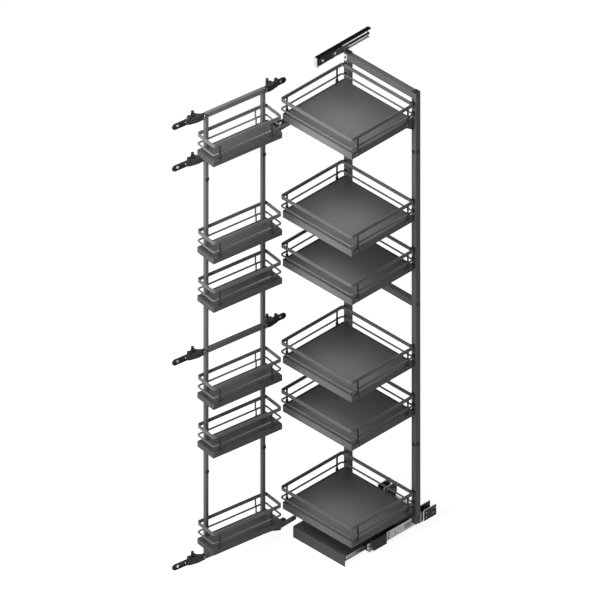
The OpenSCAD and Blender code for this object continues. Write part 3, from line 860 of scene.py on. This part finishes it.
@dataclass
class DoorFittings:
    """Adjusting knobs, arms, plate rims and screws of the door frame, in millimetres.

    Attributes:
        maker: makes the pieces.
        side: door coordinates.
        bars: heights of the four bars.
        posts: distances of the posts from the hinge.
        post_off: distance of the posts from the door's inner face.
        half: half of the width of a post.
        bend: radius of the bracket arm's quarter circle.
        knob_out: distance of a knob from the post's face.
        knob_off: distance of a knob from the door's inner face.
        plate_out: distance of a screw plate's middle from the post's face.
        plate_drop: how far below the bar the plates sit.
        plate_half: half of the distance between the centres of a plate's round ends.
        plate_r: radius of a plate's round ends.
        hole_step: distance of a plate's holes from its middle.
        uprights: places of the shelf rails' uprights, along the door.
        upright_off: distance of those uprights from the door's inner face.
        body: CAD body of the door frame.
    """

    maker: Maker
    side: DoorSide = field(default_factory=DoorSide)
    bars: tuple[float, ...] = (50.0, 951.0, 1804.0, 1987.0)
    posts: tuple[float, float] = (61.5, 316.5)
    post_off: float = 35.5
    half: float = 7.0
    bend: float = 33.0
    knob_out: float = 61.0
    knob_off: float = 23.0
    plate_out: float = 77.0
    plate_drop: float = 23.0
    plate_half: float = 31.0
    plate_r: float = 12.0
    hole_step: float = 19.2
    uprights: tuple[float, float] = (86.5, 319.5)
    upright_off: float = 121.5
    body: str = "door_frame"

    def build(self) -> None:
        """Builds every fitting of the door frame."""
        self.at_bars(self.knobs)
        self.at_bars(self.arm_covers)
        self.at_bars(self.clamps)
        self.bar_screws()
        self.at_bars(self.plate_rims)
        self.shelf_uprights()

    def at_bars(self, fitting: Callable[[int, float], None]) -> None:
        """Builds one kind of fitting at every bar."""
        for level, z in enumerate(self.bars, 1):
            fitting(level, z)

    def faces(self) -> list[tuple[float, int]]:
        """Outer face of each post along the door, with the side to which it faces."""
        return [(post + way * self.half, way) for post, way in zip(self.posts, (-1, 1))]

    def knobs(self, level: int, z: float) -> None:
        """Serrated adjusting knobs with a socket, on the ends of the bracket arms.

        Args:
            level: number of the bar, from below.
            z: height of the bar, in millimetres.
        """
        bm = bmesh.new()
        for face, way in self.faces():
            add_knob(bm, self.side.spot(face + way * self.knob_out, self.knob_off, z + 1.0), 7.2, 15.0)
        self.maker.piece(f"bracket_{level}_knobs", bm, Slot.BLACK, self.body, 0.0003)

    def arm_covers(self, level: int, z: float) -> None:
        """Moulded shells of the bracket arms, with the foot that joins each to its screw plate.

        Args:
            level: number of the bar, from below.
            z: height of the bar, in millimetres.
        """
        place = self.side.matrix()
        bm = bmesh.new()
        for face, way in self.faces():
            add_bend(bm, place, Vector((face, 2.5, z)), way, self.bend, (6.0, 86.0), 6.0, (-10.5, 9.4))
            add_arm(bm, place, Vector((face, 0.0, z)), way)
            low, high = sorted((face + way * 36.0, face + way * 52.0))
            add_block(bm, (low, 2.2, z - 20.0), (high, 26.0, z + 1.0), place)
        self.maker.piece(f"bracket_{level}_covers", bm, Slot.BLACK, self.body, 0.0009)

    def clamps(self, level: int, z: float) -> None:
        """Clamps that hold the bracket arms on the door posts, with their screws.

        Args:
            level: number of the bar, from below.
            z: height of the bar, in millimetres.
        """
        place = self.side.matrix()
        crown = 43.0
        bm, screws = bmesh.new(), bmesh.new()
        for face, way in self.faces():
            low, high = sorted((face, face + way * 9.0))
            add_block(bm, (low, 28.6, z - 12.0), (high, crown, z + 8.6), place)
            low, high = sorted((face + way * 2.0, face + way * 7.0))
            add_block(bm, (low, 30.0, z - 14.5), (high, 41.6, z - 12.0), place)
            for up in (-6.5, 3.5):
                add_screw(screws, self.side.spot(face + way * 4.5, crown, z + up), self.side.inward(), 5.6, 1.4)
        self.maker.piece(f"bracket_{level}_clamps", bm, Slot.BLACK, self.body, 0.0009)
        self.maker.piece(f"bracket_{level}_clamp_screws", screws, Slot.ZINC, self.body)

    def plate_rims(self, level: int, z: float) -> None:
        """Raised rims round the screw plates and round their holes.

        Args:
            level: number of the bar, from below.
            z: height of the bar, in millimetres.
        """
        bm, eyes = bmesh.new(), bmesh.new()
        for face, way in self.faces():
            flat = self.side.matrix() @ at((face + way * self.plate_out, 2.4, z - self.plate_drop))
            flat = flat @ Matrix.Rotation(math.radians(-90), 4, "X")
            add_oval_rim(bm, flat, self.plate_half, self.plate_r, 2.4, 4.6)
            for step in (-self.hole_step, self.hole_step):
                add_ring(eyes, flat @ at((step, 0.0, 0.0)), 2.6, 5.6, 2.0)
        self.maker.piece(f"plate_{level}_rims", bm, Slot.BLACK, self.body, 0.0003)
        self.maker.piece(f"plate_{level}_eyelets", eyes, Slot.BRIGHT, self.body, 0.0002)

    def bar_screws(self) -> None:
        """Screws through the door posts into the bars."""
        bm = bmesh.new()
        for z in self.bars:
            for post in self.posts:
                add_screw(bm, self.side.spot(post, self.post_off + self.half, z), self.side.inward(), 7.0, 1.6)
        self.maker.piece("door_bar_screws", bm, Slot.BLACK, self.body)

    def shelf_uprights(self) -> None:
        """Sleeves and bosses of the shelf rails' uprights."""
        for level in LEVELS:
            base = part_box(f"shelf_pan_{level}")[0].z / MM
            bm = bmesh.new()
            for along in self.uprights:
                spot = self.side.spot(along, self.upright_off, 0.0)
                add_upright(bm, Vector((spot.x, spot.y, base)), 22.6, RAIL_UP, WIRE_UP)
            self.maker.piece(f"shelf_{level}_upright_sleeves", bm, Slot.BLACK, self.body)


@dataclass
class SlideFittings:
    """Hardware of the slides, their brackets and the floor bars, in millimetres.

    Attributes:
        maker: makes the pieces.
        bolt_z: height of the rear brackets' bolts.
        bracket_t: sheet of the rear brackets.
        bracket_top: height of the rear brackets' upper edge.
        floor_hole: distances of the floor screws from the middle, in X and Y.
        track_x: faces of the inner rail and of its wider rear part.
        body: CAD body of the fixed parts.
    """

    maker: Maker
    bolt_z: float = 44.0
    bracket_t: float = 3.0
    bracket_top: float = 66.6
    floor_hole: tuple[float, float] = (65.0, 127.0)
    track_x: tuple[float, float] = (134.0, 139.0)
    body: str = "cabinet_rails"

    def build(self) -> None:
        """Builds the hardware of the slides."""
        self.block_screws()
        self.bracket_bolts()
        self.floor_screws()
        self.latch()
        self.tracks()
        self.floor_shade_sheet()

    def block_screws(self) -> None:
        """Screws and ribs on the outer face of the right front block."""
        low, high = in_mm(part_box("rail_block_right"))
        bm, ribs = bmesh.new(), bmesh.new()
        for y in (low.y + 14.0, high.y - 14.0):
            for z in (34.0, 55.0):
                add_screw(bm, (high.x, y, z), Axis.RIGHT.value, 6.4, 1.4)
        for z in (26.0, 42.0, 58.0):
            add_block(ribs, (high.x - 0.5, low.y + 22.0, z), (high.x + 0.9, high.y - 22.0, z + 3.0))
        self.maker.piece("rail_block_screws", bm, Slot.BLACK, self.body)
        self.maker.piece("rail_block_ribs", ribs, Slot.BLACK, self.body, 0.0004)

    def bracket_bolts(self) -> None:
        """Nuts, screws, clamping knobs and pale edges of the rear brackets."""
        nuts, knobs, lips, edges = bmesh.new(), bmesh.new(), bmesh.new(), bmesh.new()
        for name in ("rear_bracket_right", "rear_bracket_left"):
            low, high = in_mm(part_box(name))
            x = (low.x + high.x) / 2
            add_nut(nuts, (x, high.y - 5.8, self.bolt_z), Axis.REAR.value, 17.0, 5.0)
            add_nut(nuts, (x, low.y + 30.0, self.bolt_z), Axis.FRONT.value, 20.0, 6.0)
            add_lathe(knobs, [(3.6, 50.0), (3.6, 64.0), (6.6, 64.6), (7.4, 66.0), (7.4, 71.5), (6.4, 73.4),
                              (3.0, 73.4), (2.8, 71.0)], at((x, low.y + 34.5, 0.0)))
            for y, z in ((14.0, 34.0), (14.0, 54.0), (48.0, 40.0), (58.0, 56.0)):
                add_screw(nuts, (high.x, low.y + y, z), Axis.RIGHT.value, 6.0, 2.2)
            for side in (low.x, high.x - self.bracket_t):
                far = side + self.bracket_t
                add_block(lips, (side - 0.3, low.y - 0.2, 22.0), (far + 0.3, low.y + 2.0, self.bracket_top))
                add_block(edges, (side - 0.2, low.y + 2.0, self.bracket_top),
                          (far + 0.2, low.y + 64.0, self.bracket_top + 1.0))
        self.maker.piece("rear_bracket_nuts", nuts, Slot.ZINC, self.body, 0.0003)
        self.maker.piece("rear_bracket_knobs", knobs, Slot.BLACK, self.body)
        self.maker.piece("rear_bracket_lips", lips, Slot.BRIGHT, self.body, 0.0003)
        self.maker.piece("rear_bracket_edges", edges, Slot.ZINC, self.body, 0.0003)

    def floor_screws(self) -> None:
        """Screw heads in the floor bars."""
        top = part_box("cross_bars")[1].z / MM
        bm = bmesh.new()
        x, y = self.floor_hole
        for spot in ((-x, -y), (-x, y), (x, -y), (x, y)):
            add_screw(bm, (*spot, top), Axis.UP.value, 11.0, 3.0)
        self.maker.piece("floor_screws", bm, Slot.ZINC, self.body)

    def latch(self) -> None:
        """Framed slot, rivets and hole on the outer face of the right fixed rail, and a black strip of painted
        shade over its top flange.
        """
        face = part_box("rail_outer_right")[1].x / MM
        bm = bmesh.new()
        add_block(bm, (face - 0.3, 8.0, 32.0), (face + 0.5, 43.0, 48.0))
        for z in (49.0, 29.0, 39.0):
            add_block(bm, (face - 0.3, -77.0, z), (face + 0.6, -71.0, z + 5.0))
        add_lathe(bm, [(3.2, -0.3), (3.2, 0.5)],
                  at((face, -40.0, 39.0)) @ turn_to(Axis.RIGHT.value))
        # Painted shade: a black strip over the fixed rail's top flange, where the tray above shades it.
        add_block(bm, (face - 12.8, -93.0, 60.7), (face - 0.3, 94.4, 61.5))
        self.maker.piece("slide_latch_seat_and_shade_strip", bm, Slot.BLACK, self.body, 0.0002)
        bm = bmesh.new()
        for front, foot, rear, head in ((10.5, 34.5, 16.0, 45.5), (19.0, 34.5, 27.0, 38.5),
                                        (19.0, 41.5, 27.0, 45.5), (30.0, 36.0, 40.5, 45.5),
                                        (-79.0, 25.5, -69.0, 28.0), (-79.0, 55.0, -69.0, 57.5)):
            add_block(bm, (face + 0.3, front, foot), (face + 1.3, rear, head))
        self.maker.piece("slide_latch", bm, Slot.ZINC, self.body, 0.0002)

    def floor_shade_sheet(self) -> None:
        """Ribbed dark sheet on the cabinet floor, between the two floor bars: painted shade, a made-up sheet
        put where the floor lies in shade under the unit.
        """
        bm = bmesh.new()
        # Painted shade: this anthracite sheet darkens the floor in the gap between the bars.
        add_block(bm, (-88.0, -97.2, 0.2), (118.0, 97.2, 2.2))
        for x in (-60.0, -12.0, 36.0, 84.0):
            add_block(bm, (x, -90.0, 2.0), (x + 7.0, 90.0, 3.6))
        self.maker.piece("base_shade_sheet", bm, Slot.ANTHRACITE, self.body, 0.0006)

    def tracks(self) -> None:
        """Ball tracks of the inner rail and the buffer of the middle rail."""
        inner = in_mm(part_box("rail_inner_right"))
        low, high = in_mm(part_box("rail_mid_right"))
        narrow, wide = self.track_x
        bm = bmesh.new()
        for face, front, rear in ((narrow, -238.0, -221.2), (wide, -221.0, -60.0), (narrow, -249.0, -244.0)):
            add_block(bm, (face - 0.3, front, inner[0].z + 4.0), (face + 0.4, rear, inner[1].z - 3.4))
        self.maker.piece("inner_rail_track", bm, Slot.BLACK, "pull_out_frame", 0.0002)
        bm = bmesh.new()
        add_block(bm, (low.x + 5.6, low.y - 2.0, low.z + 0.3), (high.x, low.y + 0.6, high.z - 0.3))
        add_block(bm, (high.x - 0.3, low.y + 6.0, low.z + 10.0), (high.x + 0.3, low.y + 18.0, high.z - 10.0))
        self.maker.piece("middle_rail_buffer", bm, Slot.BLACK, "mid_rail_right", 0.0002)


@dataclass
class GuideFittings:
    """Black strips of painted shade, end pieces, rivets and bolts of the top guide, in millimetres.

    Attributes:
        maker: makes the pieces.
        gap: distance of the carriage cover from the channel's lips.
        cover_t: thickness of the carriage cover.
        seat: heights of the lower and upper edge of the pale plate behind the bolt.
        body: CAD body of the channel.
        carriage: CAD body of the carriage.
    """

    maker: Maker
    gap: float = 0.6
    cover_t: float = 1.2
    seat: tuple[float, float] = (1921.0, 1950.5)
    body: str = "cabinet_rails"
    carriage: str = "pull_out_frame"

    def build(self) -> None:
        """Builds the fittings of the guide."""
        low, high = in_mm(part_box("top_guide_channel"))
        # Painted shade: black strips over the channel's top face and top lip, and a liner on the inner face of
        # its web, where the channel lies in shade.
        bm = bmesh.new()
        add_block(bm, (low.x, low.y + 0.6, high.z - 0.3), (high.x + 0.1, high.y - 0.2, high.z + 0.5))
        add_block(bm, (high.x - 0.3, low.y + 0.6, high.z - 4.6), (high.x + 0.4, high.y - 0.2, high.z + 0.5))
        add_block(bm, (low.x + 1.8, low.y + 0.6, low.z + 6.0), (low.x + 2.8, high.y - 0.6, low.z + 14.5))
        strips = self.maker.piece("guide_painted_shade_strips", bm, Slot.BLACK, self.body, 0.0002)
        # Near-black, matte finish for this painted shade.
        paint(strips, MouldedPlastic("painted_shade_black", 0.002, 0.7, 0.04).make())
        bm = bmesh.new()
        add_block(bm, (low.x + 2.2, high.y - 1.4, low.z + 5.6), (high.x - 8.0, high.y + 0.6, low.z + 17.0))
        self.maker.piece("guide_end_stop", bm, Slot.BLACK, self.body, 0.0004)
        bm = bmesh.new()
        add_block(bm, (low.x, low.y - 1.0, low.z), (high.x, low.y + 0.4, high.z))
        self.maker.piece("guide_end_cap", bm, Slot.BRIGHT, self.body, 0.0004)
        plate = in_mm(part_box("guide_carriage"))
        outer = high.x + self.gap + self.cover_t
        bm = bmesh.new()
        add_block(bm, (high.x + self.gap, plate[0].y + 0.5, low.z + 5.5),
                  (outer, plate[1].y - 20.0, high.z - 0.6))
        self.maker.piece("guide_carriage_cover", bm, Slot.BLACK, self.carriage, 0.0004)
        self.rivets(outer)
        self.post_bolt()

    def rivets(self, outer: float) -> None:
        """Rivets over the roller axles, and the pale plate on the head of the left post.

        Args:
            outer: X of the carriage cover's outer face, in millimetres.
        """
        arm = in_mm(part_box("guide_arm"))
        bm = bmesh.new()
        for name, x in (("guide_roller_front", outer), ("guide_roller_rear", arm[0].x + 3.0)):
            low, high = in_mm(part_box(name))
            add_screw(bm, (x, (low.y + high.y) / 2, (low.z + high.z) / 2), Axis.RIGHT.value, 11.0, 1.6)
        low = in_mm(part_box("post_left"))[0]
        add_block(bm, (low.x + 0.6, low.y - 1.4, self.seat[0]), (low.x + 17.0, low.y + 0.2, self.seat[1]))
        self.maker.piece("guide_rivets", bm, Slot.BRIGHT, self.carriage)

    def post_bolt(self) -> None:
        """Bolt on the head of the left post and the cap on the guide's arm."""
        arm = in_mm(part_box("guide_arm"))
        low = in_mm(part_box("post_left"))[0]
        bm = bmesh.new()
        add_screw(bm, (low.x + 8.8, low.y - 1.4, 1936.5), Axis.FRONT.value, 8.0, 2.0)
        add_block(bm, (low.x, arm[1].y - 20.6, arm[0].z + 3.0), (low.x + 23.0, arm[1].y - 0.2, arm[0].z + 4.6))
        self.maker.piece("guide_arm_cap", bm, Slot.BLACK, self.carriage, 0.0004)


@dataclass
class Studio:
    """Camera, lamps, world and floor.

    Attributes:
        centre: point of the unit at the middle of the picture, in metres.
        pixels: side of the square picture.
        scale: pixels per metre.
        azimuth: camera's turn about the unit, in degrees.
        elevation: camera's height angle, in degrees.
        distance: camera's distance from that point, in metres.
    """

    centre: Vector = field(default_factory=lambda: Vector((-0.1803, -0.1803, 0.9505)))
    pixels: float = 608.0
    scale: float = 278.5
    azimuth: float = 45.0
    elevation: float = 35.264
    distance: float = 6.0

    def build(self) -> None:
        """Sets up the whole studio."""
        self.camera()
        self.world()
        self.lamps()
        self.floor()
        bpy.context.scene.view_settings.view_transform = "Standard"

    def camera(self) -> None:
        """Parallel camera at the photograph's angle."""
        data = bpy.data.cameras.new("camera")
        data.type = "ORTHO"
        data.ortho_scale = self.pixels / self.scale
        camera = bpy.data.objects.new("camera", data)
        turn, rise = math.radians(self.azimuth), math.radians(self.elevation)
        back = Vector((math.sin(turn) * math.cos(rise), -math.cos(turn) * math.cos(rise), math.sin(rise)))
        aim(camera, self.centre + back * self.distance, -back)
        data.clip_end = 50.0
        bpy.context.scene.camera = camera

    def world(self) -> None:
        """White to the camera and in reflections, plain grey as light."""
        world = bpy.data.worlds.new("studio")
        bpy.context.scene.world = world
        world.use_nodes = True
        nodes = Nodes(world.node_tree)
        nodes.tree.nodes.clear()
        out = nodes.add("ShaderNodeOutputWorld")
        mix = nodes.add("ShaderNodeMixShader")
        seen = nodes.add("ShaderNodeBackground", Strength=1.02, Color=grey(1.0))
        light = nodes.add("ShaderNodeBackground", Strength=0.18, Color=grey(0.9))
        nodes.link(nodes.seen(), mix.inputs["Fac"])
        nodes.link(light.outputs["Background"], mix.inputs[1])
        nodes.link(seen.outputs["Background"], mix.inputs[2])
        nodes.link(mix.outputs["Shader"], out.inputs["Surface"])

    def lamps(self) -> None:
        """A tall soft key close in front, a weak lamp at the right and one above the front."""
        lamps = (
            ("key", (0.1, -2.1, 1.6), (0.0, -0.1, 1.2), (1.1, 2.6), 48.0),
            ("side", (2.6, 0.2, 1.6), (0.0, 0.0, 1.1), (1.5, 1.5), 1.8),
            ("top", (0.0, -1.3, 3.0), (0.0, -0.2, 1.5), (0.9, 0.9), 36.0),
        )
        for name, place, target, size, power in lamps:
            data = bpy.data.lights.new(name, "AREA")
            data.shape = "RECTANGLE"
            data.size, data.size_y = size
            data.energy = power
            lamp = bpy.data.objects.new(name, data)
            aim(lamp, Vector(place), Vector(target) - Vector(place))
            lamp.visible_camera = False

    def floor(self) -> None:
        """Pale floor that shows white and keeps a soft shadow."""
        bm = bmesh.new()
        bmesh.ops.create_grid(bm, x_segments=1, y_segments=1, size=8.0)
        mesh = bpy.data.meshes.new("floor")
        bm.to_mesh(mesh)
        bm.free()
        floor = bpy.data.objects.new("floor", mesh)
        floor.location.z = -0.0005
        bpy.context.scene.collection.objects.link(floor)
        nodes = FinishNodes("pale_floor")
        nodes.shader.inputs["Base Color"].default_value = grey(0.45)
        nodes.shader.inputs["Roughness"].default_value = 0.9
        nodes.shader.inputs["Specular IOR Level"].default_value = 0.0
        glow = nodes.add("ShaderNodeEmission", Strength=1.0, Color=grey(0.9))
        both = nodes.add("ShaderNodeAddShader")
        nodes.link(nodes.shader.outputs["BSDF"], both.inputs[0])
        nodes.link(glow.outputs["Emission"], both.inputs[1])
        mix = nodes.add("ShaderNodeMixShader")
        nodes.link(nodes.seen(), mix.inputs["Fac"])
        nodes.link(nodes.shader.outputs["BSDF"], mix.inputs[1])
        nodes.link(both.outputs["Shader"], mix.inputs[2])
        nodes.link(mix.outputs["Shader"], nodes.tree.nodes["Material Output"].inputs["Surface"])
        floor.data.materials.append(nodes.material)


def aim(obj: bpy.types.Object, spot: Vector, way: Vector) -> None:
    """Puts a lamp or camera in the scene.

    Args:
        obj: the lamp or camera.
        spot: where it goes, in metres.
        way: direction in which it looks.
    """
    obj.location = spot
    obj.rotation_mode = "QUATERNION"
    obj.rotation_quaternion = way.to_track_quat("-Z", "Y")
    bpy.context.scene.collection.objects.link(obj)


def main() -> None:
    """Builds the studio and the unit in order."""
    logging.basicConfig(level=logging.INFO)
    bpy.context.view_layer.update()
    Studio().build()
    palette = Palette()
    palette.make()
    maker = Maker(palette)
    CadParts(palette).dress()
    for group in (FrameFittings, RailFittings, DoorFittings, SlideFittings, GuideFittings):
        group(maker).build()


if __name__ == "__main__":
    main()
